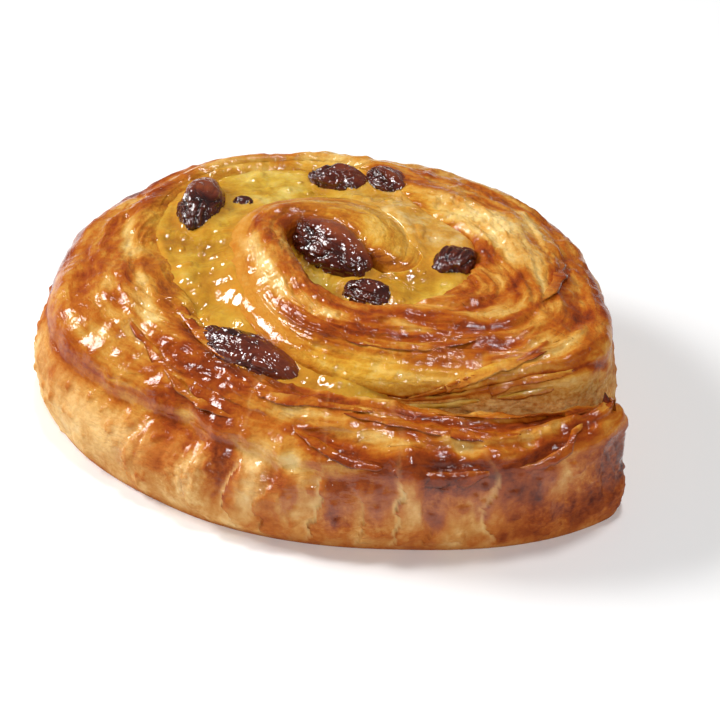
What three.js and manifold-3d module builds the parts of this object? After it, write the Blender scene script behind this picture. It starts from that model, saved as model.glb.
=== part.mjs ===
// Raisin danish: one strip of laminated dough, wound up with a layer of custard and raisins.
// Millimetres, +Z up. The pastry rests on its flat underside at z = 0, and the origin is the middle
// of its outline. The loose tail of the dough strip ends at the front right (+X, -Y), and the strip
// winds inwards from there, clockwise from above.

import * as THREE from 'three';
import { mergeVertices } from 'three/addons/utils/BufferGeometryUtils.js';
import Module from 'manifold-3d';

const wasm = await Module();
wasm.setup();

// ---------------------------------------------------------------- driving dimensions

const AXIS = new THREE.Vector2(5.1, 4.5); // middle of the winding
const TAIL_ANGLE = -38; // degrees from +X
const STRIP_TURNS = 2;
const FILLING_TURNS = { start: 0.09, end: 1.6 };
const POCKET = { start: 0.012, end: 0.015 }; // turns past the strip's inner end
const KNOTS_PER_TURN = 8;

// The winding at every eighth of a turn, from the tail inwards. Past the end of the strip the
// outer radius is that of the pocket of custard in the middle.
const OUTER_RADIUS = [
  56, 47, 45.7, 51.2, 47.4, 38.2, 36.6, 40,
  41.5, 32.5, 23.5, 20.5, 21, 16.5, 14, 13.2,
  12.6, 8, 3, 1, 1, 1, 0.4, 0.4, 0.4,
];
// Width of the channel between a turn and the next one inside it.
const CHANNEL_WIDTH = [
  0.4, 1.5, 5, 6, 14, 13.2, 2.5, 7,
  8, 8.5, 7.5, 8, 10, 1.5, 0.3, 0.3, 0.3,
];
// Height of the strip's outer rim and of its inner edge.
const RIM_HEIGHT = [
  18.5, 18, 18, 21.2, 21.2, 22.4, 23.2, 23.4,
  25, 23.6, 23.5, 24.5, 25.5, 26, 26, 25.5, 25,
];
const INNER_HEIGHT = [
  17.6, 20.5, 21, 22, 22.5, 22.5, 24.5, 25.5,
  26, 26, 26.5, 26.5, 26.5, 26.5, 26.5, 26, 25.5,
];
// How far the rim leans in over the widest part of the wall, and the radius of its shoulder.
const RIM_LEAN = [0, 1, 5.5, 2.6, 1.6, 1.8, 2, 2, 0.5, 0];
const SHOULDER_RADIUS = [2.5, 3, 6.5, 6.2, 4.8, 4, 4, 4, 3, 3, 4, 4, 3.5, 3.5, 3.5, 3.5, 3.5];
// How far the foot of the outer wall draws in on the baking tray.
const FOOT_INSET = [0.3, 2, 1.5, 1.6, 2.2, 2, 2, 2, 1, 0];
// How far the custard lies below the dough round it.
const CUSTARD_DEPTH = [2, 1.8, 3, 1.2, 0.8, 0.6, 1.2, 1.2, 1.6, 3, 4.4, 4.2, 4, 4];

const CORNER = { radius: 6.6, turns: 0.05 }; // bulge of the second turn where the tail leaves it
const TAIL_END = { turns: 0.016, inset: 4, drop: 1 };
const CUSTARD_CLIMB = 0.5; // how far the custard rises towards the higher turn inside it
const TONGUE_END = { turns: 0.05, inset: 3, drop: 1.4 };
const INNER_SHOULDER = 2;
const CROWN = 0.9; // rise of the top between its two edges
const PLEATS = { depth: 0.45, spacing: 9 }; // upright folds of the outer wall
const RIDGES = { depth: 0.4, spacing: 6.5 }; // layers that show along the top
const GAP = 0.3;
const LEAST_RADIUS = 0.4;

// Raisins: middle, from the axis of the winding; half length, half width and half height; and
// the turn of the long axis.
const RAISINS = [
  { name: 'raisin_front', at: [-15.2, -22.7, 19.2], size: [10, 4, 3.6], yaw: -36, seed: 1, detail: 4 },
  { name: 'raisin_left', at: [-24.6, 16.4, 22.4], size: [7.2, 3.8, 3.4], yaw: 84, seed: 2, detail: 4 },
  { name: 'raisin_left_small', at: [-17.6, 16.8, 22.4], size: [2.1, 1.4, 1.2], yaw: -30, seed: 3, detail: 2 },
  { name: 'raisin_rear', at: [-1.6, 24.2, 22.6], size: [5, 2.9, 2.7], yaw: -22, seed: 4, detail: 3 },
  { name: 'raisin_rear_right', at: [6.6, 22.9, 22.8], size: [4.6, 2.9, 2.7], yaw: -52, seed: 5, detail: 3 },
  { name: 'raisin_middle', at: [-2.4, 2, 23.4], size: [8.9, 4.2, 3.6], yaw: -52, seed: 6, detail: 4 },
  { name: 'raisin_middle_small', at: [3.6, -10.2, 22.4], size: [4.1, 2.7, 2.2], yaw: -28, seed: 7, detail: 3 },
  { name: 'raisin_right', at: [17, -3.3, 23], size: [4, 3.5, 3.2], yaw: 60, seed: 8, detail: 3 },
];
const RAISIN_FOLD = 0.07;

const TURN_STEPS = 73;
const WALL_STEPS = 5;
const ARC_STEPS = 3;
const TOP_STEPS = 7;

// ---------------------------------------------------------------- the winding

// Smooth curve through knots that lie an eighth of a turn apart.
function along(knots, turn) {
  const last = knots.length - 1;
  const place = THREE.MathUtils.clamp(turn * KNOTS_PER_TURN, 0, last - 1e-9);
  const i = Math.floor(place);
  const f = place - i;
  const knot = (k) => knots[THREE.MathUtils.clamp(k, 0, last)];
  const [a, b, c, d] = [knot(i - 1), knot(i), knot(i + 1), knot(i + 2)];
  return 0.5 * (2 * b + (c - a) * f + (2 * a - 5 * b + 4 * c - d) * f ** 2
    + (3 * b - a - 3 * c + d) * f ** 3);
}

// 1 at a blunt end of the strip, falling to 0 along a quarter round.
function endRound(distance, length) {
  const x = 1 - THREE.MathUtils.clamp(distance / length, 0, 1);
  return 1 - Math.sqrt(1 - x * x);
}

function windingRadius(turn) {
  return along(OUTER_RADIUS, turn) + CORNER.radius * Math.exp(-(((turn - 1) / CORNER.turns) ** 2));
}

// The measures of the dough strip's section at one place along it.
function stripAt(turn) {
  const tail = endRound(turn, TAIL_END.turns);
  const tongue = endRound(STRIP_TURNS - turn, TONGUE_END.turns);
  const drop = TAIL_END.drop * tail + TONGUE_END.drop * tongue;
  return {
    outer: windingRadius(turn) - TAIL_END.inset * tail - TONGUE_END.inset * tongue,
    inner: windingRadius(turn + 1) + along(CHANNEL_WIDTH, turn) + TONGUE_END.inset * tongue,
    rim: along(RIM_HEIGHT, turn) - drop,
    crest: along(INNER_HEIGHT, turn) - drop,
    lean: along(RIM_LEAN, turn),
    shoulder: along(SHOULDER_RADIUS, turn),
    foot: along(FOOT_INSET, turn),
  };
}

// A point of a half plane through the axis.
function place(turn, radius, height) {
  const angle = THREE.MathUtils.degToRad(TAIL_ANGLE - 360 * turn);
  return [AXIS.x + radius * Math.cos(angle), AXIS.y + radius * Math.sin(angle), height];
}

// A closed solid through the sections, one at each of the turns. A section is a ring of
// [radius, height] pairs that runs outwards along the base and back over the top.
function sweep(turns, sectionAt) {
  const rings = turns.map(sectionAt);
  const count = rings[0].length;
  const positions = rings.flatMap((ring, k) => ring.flatMap(([r, z]) => place(turns[k], r, z)));
  const index = [];
  for (let k = 0; k + 1 < rings.length; k += 1) {
    for (let j = 0; j < count; j += 1) {
      const a = k * count + j;
      const b = k * count + ((j + 1) % count);
      index.push(a, b, a + count, b, b + count, a + count);
    }
  }
  const faces = (ring) => {
    const outline = ring.map(([r, z]) => new THREE.Vector2(r, z));
    return THREE.ShapeUtils.triangulateShape(outline, []);
  };
  const end = (rings.length - 1) * count;
  faces(rings[0]).forEach(([a, b, c]) => index.push(a, c, b));
  faces(rings.at(-1)).forEach(([a, b, c]) => index.push(end + a, end + b, end + c));
  const geometry = new THREE.BufferGeometry();
  geometry.setAttribute('position', new THREE.Float32BufferAttribute(positions, 3));
  geometry.setIndex(index);
  return geometry;
}

function turnsBetween(start, end) {
  const steps = Math.round((end - start) * TURN_STEPS);
  return Array.from({ length: steps + 1 }, (_, k) => THREE.MathUtils.lerp(start, end, k / steps));
}

// ---------------------------------------------------------------- dough

// Upright folds of the outer wall, deepest at mid height and gone at its foot.
function pleat(turn, share) {
  const run = 2 * Math.PI * turn * windingRadius(turn) / PLEATS.spacing;
  const fade = THREE.MathUtils.smoothstep(1.05 - turn, 0, 0.1) * Math.sin(Math.PI * share);
  return PLEATS.depth * fade * (Math.sin(run) + 0.6 * Math.sin(1.73 * run + 2 * share + 1));
}

// Ridges that the dough's layers leave along its top.
function ridge(turn, distance) {
  const phase = 2 * Math.PI * (distance / RIDGES.spacing + 0.4 * Math.sin(5 * turn));
  return RIDGES.depth * Math.sin(phase) * (0.7 + 0.3 * Math.sin(11 * turn + 1));
}

function doughSection(turn) {
  const { outer, inner, rim, crest, lean, shoulder, foot } = stripAt(turn);
  const width = outer - lean - inner;
  const round = Math.min(shoulder, 0.4 * width);
  const innerRound = Math.min(INNER_SHOULDER, 0.3 * width);
  const ring = [];
  for (let k = 0; k <= WALL_STEPS; k += 1) {
    const share = k / WALL_STEPS;
    const inset = share < 0.5 ? foot * (1 - 2 * share) ** 2 : lean * (2 * share - 1) ** 2;
    ring.push([outer - inset + pleat(turn, share), share * (rim - round)]);
  }
  for (let k = 1; k <= ARC_STEPS; k += 1) {
    const angle = (k / ARC_STEPS) * Math.PI / 2;
    ring.push([outer - lean - round * (1 - Math.cos(angle)), rim - round * (1 - Math.sin(angle))]);
  }
  const topWidth = width - round - innerRound;
  for (let k = 1; k < TOP_STEPS; k += 1) {
    const share = k / TOP_STEPS;
    const rise = 4 * share * (1 - share) * (CROWN + ridge(turn, share * topWidth));
    const height = THREE.MathUtils.lerp(rim, crest, share) + rise;
    ring.push([outer - lean - round - share * topWidth, height]);
  }
  for (let k = 0; k <= ARC_STEPS; k += 1) {
    const angle = (k / ARC_STEPS) * Math.PI / 2;
    ring.push([inner + innerRound * (1 - Math.sin(angle)), crest - innerRound * (1 - Math.cos(angle))]);
  }
  ring.push([inner, 0.5 * crest]);
  ring.push([inner, 0]);
  return ring;
}

function dough() {
  return sweep(turnsBetween(0, STRIP_TURNS), doughSection);
}

// ---------------------------------------------------------------- custard

// The custard fills the channel inside the strip. Past the strip's inner end it fills the pocket
// right in to the axis.
function custardSection(turn) {
  const { inner, crest } = stripAt(turn);
  const beyond = turn + 1 > STRIP_TURNS + POCKET.end;
  const outside = inner - GAP;
  const inside = beyond ? LEAST_RADIUS : stripAt(turn + 1).outer + GAP;
  const level = crest - along(CUSTARD_DEPTH, turn);
  const rise = beyond ? 0 : CUSTARD_CLIMB * (stripAt(turn + 1).rim - crest);
  const bulge = Math.min(0.6, 0.1 * (outside - inside));
  const top = (share) => [
    THREE.MathUtils.lerp(outside, inside, share),
    level + rise * share + 4 * bulge * share * (1 - share),
  ];
  return [[inside, 0], [outside, 0], top(0), top(0.3), top(0.65), top(1)];
}

function custard() {
  const { start, end } = FILLING_TURNS;
  const tongue = STRIP_TURNS - 1;
  const turns = [
    ...turnsBetween(start, tongue + POCKET.start),
    ...turnsBetween(tongue + POCKET.start + POCKET.end, end),
  ];
  return sweep(turns, custardSection);
}

// ---------------------------------------------------------------- raisins

// A soaked raisin: a drawn-out ball with pointed ends and a few soft folds along it.
function raisin({ at, size, yaw, seed, detail }, grown = 0) {
  const geometry = new THREE.IcosahedronGeometry(1, detail);
  const position = geometry.getAttribute('position');
  const point = new THREE.Vector3();
  for (let i = 0; i < position.count; i += 1) {
    point.fromBufferAttribute(position, i);
    const around = Math.atan2(point.z, point.y);
    const girth = Math.hypot(point.y, point.z);
    const folds = Math.sin(3 * around + 1.7 * seed) + 0.6 * Math.sin(5 * around + 2.6 * point.x + seed);
    const swell = 1 + RAISIN_FOLD * girth * folds - 0.12 * point.x ** 2 * girth;
    position.setXYZ(
      i,
      point.x * (size[0] + grown),
      point.y * swell * (size[1] + grown),
      point.z * swell * (size[2] + grown),
    );
  }
  geometry.rotateZ(THREE.MathUtils.degToRad(yaw));
  geometry.translate(AXIS.x + at[0], AXIS.y + at[1], at[2]);
  return geometry;
}

// ---------------------------------------------------------------- joining and cutting

function toSolid(geometry) {
  geometry.deleteAttribute('normal');
  geometry.deleteAttribute('uv');
  const merged = mergeVertices(geometry);
  return new wasm.Manifold(new wasm.Mesh({
    numProp: 3,
    vertProperties: new Float32Array(merged.getAttribute('position').array),
    triVerts: new Uint32Array(merged.getIndex().array),
  }));
}

function toGeometry(solid) {
  const mesh = solid.getMesh();
  const geometry = new THREE.BufferGeometry();
  geometry.setAttribute('position', new THREE.Float32BufferAttribute(mesh.vertProperties, 3));
  geometry.setIndex(new THREE.Uint32BufferAttribute(mesh.triVerts, 1));
  geometry.computeVertexNormals();
  return geometry;
}

// Takes the raisins' hollows, a little larger than the raisins, out of a solid.
function withHollows(geometry) {
  return toGeometry(RAISINS.reduce(
    (solid, entry) => solid.subtract(toSolid(raisin(entry, GAP))),
    toSolid(geometry),
  ));
}

// ---------------------------------------------------------------- scene graph

const CRUST = new THREE.MeshStandardMaterial({ color: 0xc47a2c, roughness: 0.45, metalness: 0 });
const CUSTARD = new THREE.MeshStandardMaterial({ color: 0xe0ad2a, roughness: 0.3, metalness: 0 });
const RAISIN = new THREE.MeshStandardMaterial({ color: 0x3a1510, roughness: 0.35, metalness: 0 });

function named(name, geometry, material) {
  const mesh = new THREE.Mesh(geometry, material);
  mesh.name = name;
  return mesh;
}

const pastry = new THREE.Group();
pastry.name = 'raisin_danish';
pastry.add(named('dough_strip', withHollows(dough()), CRUST));
pastry.add(named('custard', withHollows(custard()), CUSTARD));
for (const entry of RAISINS) {
  pastry.add(named(entry.name, raisin(entry), RAISIN));
}

export default pastry;
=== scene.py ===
import itertools
import math

import bmesh
import bpy
import numpy as np
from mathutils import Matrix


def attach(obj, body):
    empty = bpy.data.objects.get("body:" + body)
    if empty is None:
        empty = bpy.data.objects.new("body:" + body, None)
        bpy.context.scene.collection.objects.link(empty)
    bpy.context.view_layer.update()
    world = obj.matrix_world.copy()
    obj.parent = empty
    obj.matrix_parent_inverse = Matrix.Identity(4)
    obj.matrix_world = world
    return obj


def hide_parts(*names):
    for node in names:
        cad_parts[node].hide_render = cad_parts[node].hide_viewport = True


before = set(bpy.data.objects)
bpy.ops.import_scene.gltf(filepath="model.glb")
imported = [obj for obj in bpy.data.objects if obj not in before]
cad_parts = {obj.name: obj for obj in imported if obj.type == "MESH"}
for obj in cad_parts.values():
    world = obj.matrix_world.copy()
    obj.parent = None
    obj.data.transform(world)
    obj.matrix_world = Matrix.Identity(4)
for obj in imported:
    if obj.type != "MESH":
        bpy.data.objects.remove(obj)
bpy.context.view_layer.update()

# ------------------------------------------------------------------------------ the dough strip
# One strip of dough, folded with butter into many thin layers, wound round its filling and baked
# flat on a tray. The layers show as streaks and leaf edges along the top, the outermost one hangs
# down the wall in torn upright folds, and syrup brushed on while hot makes the top shine.

MM = 0.001
AXIS = (5.1, 4.5)  # middle of the winding, mm
TAIL_ANGLE = -38
STRIP_TURNS = 2
KNOTS_PER_TURN = 8
# The winding at every eighth of a turn, from the loose tail inwards, as the solids have it.
OUTER_RADIUS = (
    56, 47, 45.7, 51.2, 47.4, 38.2, 36.6, 40,
    41.5, 32.5, 23.5, 20.5, 21, 16.5, 14, 13.2,
    12.6, 8, 3, 1, 1, 1, 0.4, 0.4, 0.4,
)
CHANNEL_WIDTH = (
    0.4, 1.5, 5, 6, 14, 13.2, 2.5, 7,
    8, 8.5, 7.5, 8, 10, 1.5, 0.3, 0.3, 0.3,
)
RIM_HEIGHT = (
    18.5, 18, 18, 21.2, 21.2, 22.4, 23.2, 23.4,
    25, 23.6, 23.5, 24.5, 25.5, 26, 26, 25.5, 25,
)
INNER_HEIGHT = (
    17.6, 20.5, 21, 22, 22.5, 22.5, 24.5, 25.5,
    26, 26, 26.5, 26.5, 26.5, 26.5, 26.5, 26, 25.5,
)
RIM_LEAN = (0, 1, 5.5, 2.6, 1.6, 1.8, 2, 2, 0.5, 0)
SHOULDER_RADIUS = (2.5, 3, 6.5, 6.2, 4.8, 4, 4, 4, 3, 3, 4, 4, 3.5, 3.5, 3.5, 3.5, 3.5)
FOOT_INSET = (0.3, 2, 1.5, 1.6, 2.2, 2, 2, 2, 1, 0)
CORNER_BULGE, CORNER_TURNS = 6.6, 0.05
TAIL_END = {"turns": 0.016, "inset": 4, "drop": 1}
TONGUE_END = {"turns": 0.05, "inset": 3, "drop": 1.4}
INNER_SHOULDER = 2
CROWN = 0.9


def along(knots, turn):
    """Smooth curve through knots an eighth of a turn apart."""
    values = np.asarray(knots, float)
    last = len(values) - 1
    place = np.clip(np.asarray(turn, float) * KNOTS_PER_TURN, 0, last - 1e-9)
    i = place.astype(int)
    f = place - i
    a, b, c, d = (values[np.clip(i + k, 0, last)] for k in (-1, 0, 1, 2))
    return 0.5 * (2 * b + (c - a) * f + (2 * a - 5 * b + 4 * c - d) * f**2
                  + (3 * b - a - 3 * c + d) * f**3)


def end_round(distance, length):
    """1 at a blunt end of the strip, falling to 0 along a quarter round."""
    x = 1 - np.clip(distance / length, 0, 1)
    return 1 - np.sqrt(1 - x * x)


def winding_radius(turn):
    return along(OUTER_RADIUS, turn) + CORNER_BULGE * bell(turn, 1, CORNER_TURNS)


def strip_at(turn):
    """Measures of the dough's section at each turn, in mm."""
    tail = end_round(turn, TAIL_END["turns"])
    tongue = end_round(STRIP_TURNS - turn, TONGUE_END["turns"])
    drop = TAIL_END["drop"] * tail + TONGUE_END["drop"] * tongue
    narrowed = TONGUE_END["inset"] * tongue
    return {
        "outer": winding_radius(turn) - TAIL_END["inset"] * tail - narrowed,
        "inner": winding_radius(turn + 1) + along(CHANNEL_WIDTH, turn) + narrowed,
        "rim": along(RIM_HEIGHT, turn) - drop,
        "crest": along(INNER_HEIGHT, turn) - drop,
    }


def in_place(turn, radius, height):
    """Points of half planes through the axis, in mm."""
    angle = np.radians(TAIL_ANGLE - 360 * turn)
    return np.stack([
        AXIS[0] + radius * np.cos(angle),
        AXIS[1] + radius * np.sin(angle),
        height + 0 * angle,
    ], axis=-1)


def smooth(value, low, high):
    x = np.clip((value - low) / (high - low), 0, 1)
    return x * x * (3 - 2 * x)


def bell(value, middle, width):
    return np.exp(-(((value - middle) / width) ** 2))


def uneven(x, y, z=0, seed=0):
    """Smooth random relief between -1 and 1 that changes over about one unit."""
    point = np.stack(np.broadcast_arrays(x, y, z), axis=-1).astype(float)
    cell = np.floor(point).astype(np.int64)
    f = point - cell
    f = f * f * f * (f * (6 * f - 15) + 10)
    total = np.zeros(point.shape[:-1])
    for corner in itertools.product((0, 1), repeat=3):
        c = cell + np.array(corner)
        mixed = (c[..., 0] * 73856093) ^ (c[..., 1] * 19349663) ^ (c[..., 2] * 83492791)
        mixed = (mixed ^ (seed * 971 + 17)) * 2654435761 % 4294967296
        mixed = (mixed ^ (mixed >> 15)) * 2246822519 % 4294967296
        value = (mixed ^ (mixed >> 13)) % 65536 / 65535
        weight = np.prod(np.where(np.array(corner) == 1, f, 1 - f), axis=-1)
        total += weight * value
    return 2 * total - 1


def lumps(points, size, seed):
    """Unevenness through space, with lumps of about that size in mm."""
    return uneven(*np.moveaxis(points / size, -1, 0), seed=seed)


def rough(x, y, seed):
    """Unevenness with finer unevenness on it."""
    return sum(uneven(x * 2**k, y * 2**k, 0, seed + k) / 2**k for k in range(3)) / 1.6


# Points round the section: wall, shoulder, top, lip, inside, base.
LOOSE_TURN = (42, 10, 52, 8, 7, 4)
WOUND_TURN = (50, 16, 74, 16, 8, 4)


def section(turn, counts):
    """Radius, height and zone of the points round the dough. The zone is 0 to 1 up the wall, 1 to 2
    across the top with 0.15 of it for each rounded edge, 2 to 3 down the inside and 3 to 4 back
    along the base."""
    t = turn[:, None]
    strip = strip_at(t)
    lean, shoulder, foot = (along(k, t) for k in (RIM_LEAN, SHOULDER_RADIUS, FOOT_INSET))
    width = strip["outer"] - lean - strip["inner"]
    big = np.minimum(shoulder, 0.4 * width)
    small = np.minimum(INNER_SHOULDER, 0.3 * width)
    rim_radius = strip["outer"] - lean
    flat = width - big - small
    shares = [np.linspace(0, 1, count, endpoint=False)[None] for count in counts]

    up, _, across, _, down, back = shares
    inset = np.where(up < 0.5, foot * (1 - 2 * up) ** 2, lean * (2 * up - 1) ** 2)
    bend, fall = shares[1] * math.pi / 2, shares[3] * math.pi / 2
    climb = (strip["crest"] - strip["rim"]) * across + 4 * CROWN * across * (1 - across)
    parts = (
        (strip["outer"] - inset, up * (strip["rim"] - big), up),
        (rim_radius - big * (1 - np.cos(bend)), strip["rim"] - big * (1 - np.sin(bend)),
         1 + 0.15 * shares[1]),
        (rim_radius - big - across * flat, strip["rim"] + climb, 1.15 + 0.7 * across),
        (strip["inner"] + small * (1 - np.sin(fall)), strip["crest"] - small * (1 - np.cos(fall)),
         1.85 + 0.15 * shares[3]),
        (strip["inner"] + 0 * down, (strip["crest"] - small) * (1 - down) ** 1.5, 2 + down),
        (strip["inner"] + (strip["outer"] - foot - strip["inner"]) * back, 0 * back * t, 3 + back),
    )
    return [
        np.concatenate([np.broadcast_to(p[k], (len(turn), p[2].shape[1])) for p in parts], axis=1)
        for k in range(3)
    ]


TURNS = np.linspace(0, STRIP_TURNS, 6000)  # fine enough to measure lengths along the strip


def run_length(radius):
    """Distance along the winding at each of TURNS, at that radius."""
    step = 0.5 * (radius[1:] + radius[:-1]) * np.diff(TURNS) * 2 * math.pi
    return np.concatenate([[0], np.cumsum(step)])


OUTER_RUN = run_length(winding_radius(TURNS))
MIDDLE_RUN = run_length(0.5 * (strip_at(TURNS)["outer"] + strip_at(TURNS)["inner"]))


def steps_by_length(start, end, count):
    """Turns that are evenly spaced along the strip's outer face."""
    ends = np.interp((start, end), TURNS, OUTER_RUN)
    return np.interp(np.linspace(*ends, count), OUTER_RUN, TURNS)


def facing(points):
    """Unit normals of a grid of points that runs along the first side and closes on the second."""
    ahead = np.gradient(points, axis=0)
    around = np.roll(points, -1, axis=1) - np.roll(points, 1, axis=1)
    normal = np.cross(ahead, around)
    return normal / np.maximum(np.linalg.norm(normal, axis=-1, keepdims=True), 1e-9)


def with_ends(grid, shares=(0.8, 0.55, 0.3, 0.08)):
    """Closes a grid of rings by shrinking its end rings towards their middles."""
    first, last = grid[:1], grid[-1:]
    head = [first.mean(axis=1, keepdims=True) * (1 - k) + first * k for k in shares[::-1]]
    foot = [last.mean(axis=1, keepdims=True) * (1 - k) + last * k for k in shares]
    return np.concatenate(head + [grid] + foot)


def ring_faces(rings, count, first=0):
    """Faces of rings of points that are numbered from the first one, with a cap on each end."""
    number = np.arange(rings * count).reshape(rings, count) + first
    nxt = np.roll(number, -1, axis=1)
    quads = np.stack([number[:-1], nxt[:-1], nxt[1:], number[1:]], axis=-1).reshape(-1, 4)
    return quads.tolist() + [number[0][::-1].tolist(), number[-1].tolist()]


def closed_mesh(name, points, faces):
    """A mesh of closed skins, all facing outwards, from points in mm."""
    mesh = bpy.data.meshes.new(name)
    mesh.from_pydata((points * MM).tolist(), [], faces)
    bm = bmesh.new()
    bm.from_mesh(mesh)
    bmesh.ops.triangulate(bm, faces=[f for f in bm.faces if len(f.verts) > 4])
    bmesh.ops.recalc_face_normals(bm, faces=bm.faces)
    bm.to_mesh(mesh)
    bm.free()
    return mesh


def in_scene(name, data):
    """Puts a mesh, a light or a camera in the scene."""
    thing = bpy.data.objects.new(name, data)
    bpy.context.scene.collection.objects.link(thing)
    return thing


def finished_piece(mesh, fields):
    """Puts a mesh in the scene, shaded smooth, with a value or vector at each point per field."""
    for key, values in fields.items():
        is_vector = values.shape[-1] == 3 and values.size == 3 * len(mesh.vertices)
        kind, slot = ("FLOAT_VECTOR", "vector") if is_vector else ("FLOAT", "value")
        layer = mesh.attributes.new(key, kind, "POINT")
        layer.data.foreach_set(slot, values.reshape(-1).astype(np.float32))
    mesh.polygons.foreach_set("use_smooth", [True] * len(mesh.polygons))
    return in_scene(mesh.name, mesh)


def tube_piece(name, points, fields):
    """A closed solid from a grid of rings and the fields on it."""
    points = with_ends(points)
    mesh = closed_mesh(name, points.reshape(-1, 3), ring_faces(*points.shape[:2]))
    return finished_piece(mesh, {key: with_ends(values) for key, values in fields.items()})


# Raisins: middle, from the axis; half length, width and height; turn of the long axis; a seed.
RAISINS = {
    "raisin_front": ((-15.2, -22.7, 19.2), (10, 4, 3.6), -36, 1),
    "raisin_left": ((-24.6, 16.4, 22.4), (7.2, 3.8, 3.4), 84, 2),
    "raisin_left_small": ((-17.6, 16.8, 22.4), (2.1, 1.4, 1.2), -30, 3),
    "raisin_rear": ((-1.6, 24.2, 22.6), (5, 2.9, 2.7), -22, 4),
    "raisin_rear_right": ((6.6, 22.9, 22.8), (4.6, 2.9, 2.7), -52, 5),
    "raisin_middle": ((-2.4, 2, 23.4), (8.9, 4.2, 3.6), -52, 6),
    "raisin_middle_small": ((3.6, -10.2, 22.4), (4.1, 2.7, 2.2), -28, 7),
    "raisin_right": ((17, -3.3, 23), (4, 3.5, 3.2), 60, 8),
}
GAP = 0.3  # between a raisin and the custard that it dips into, mm
BEDDED = 0.3  # how far a raisin's skin lies inside the dough round it, mm


def raisin_frame(entry):
    """Middle and axes of a raisin; the rows of the second are its long, side and up directions."""
    at, size, yaw, _ = entry
    a = math.radians(yaw)
    axes = np.array([[math.cos(a), math.sin(a), 0], [-math.sin(a), math.cos(a), 0], [0, 0, 1]])
    return np.array([AXIS[0] + at[0], AXIS[1] + at[1], at[2]]), axes, np.array(size, float)


def syrup_ring(points):
    """1 beside a raisin, where syrup gathers and darkens, falling to 0 over a millimetre or two."""
    ring = np.zeros(points.shape[:-1])
    for entry in RAISINS.values():
        middle, axes, size = raisin_frame(entry)
        reach = np.linalg.norm((points - middle) @ axes.T / size, axis=-1)
        ring = np.maximum(ring, np.exp(-np.abs(reach - 1.05) * size[1] / 0.9))
    return ring


def pressed(points):
    """Pushes points out of the raisins, down and aside, as dough that they were pressed into."""
    for entry in RAISINS.values():
        middle, axes, size = raisin_frame(entry)
        bed = size - BEDDED
        local = (points - middle) @ axes.T / bed
        reach = np.linalg.norm(local, axis=-1, keepdims=True)
        below = np.concatenate([local[..., :2], -np.abs(local[..., 2:]) - 0.02], axis=-1)
        below /= np.linalg.norm(below, axis=-1, keepdims=True)
        moved = middle + below * bed @ axes
        points = points + smooth(1 - reach, 0, 0.02) * (moved - points)
    return points


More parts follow.
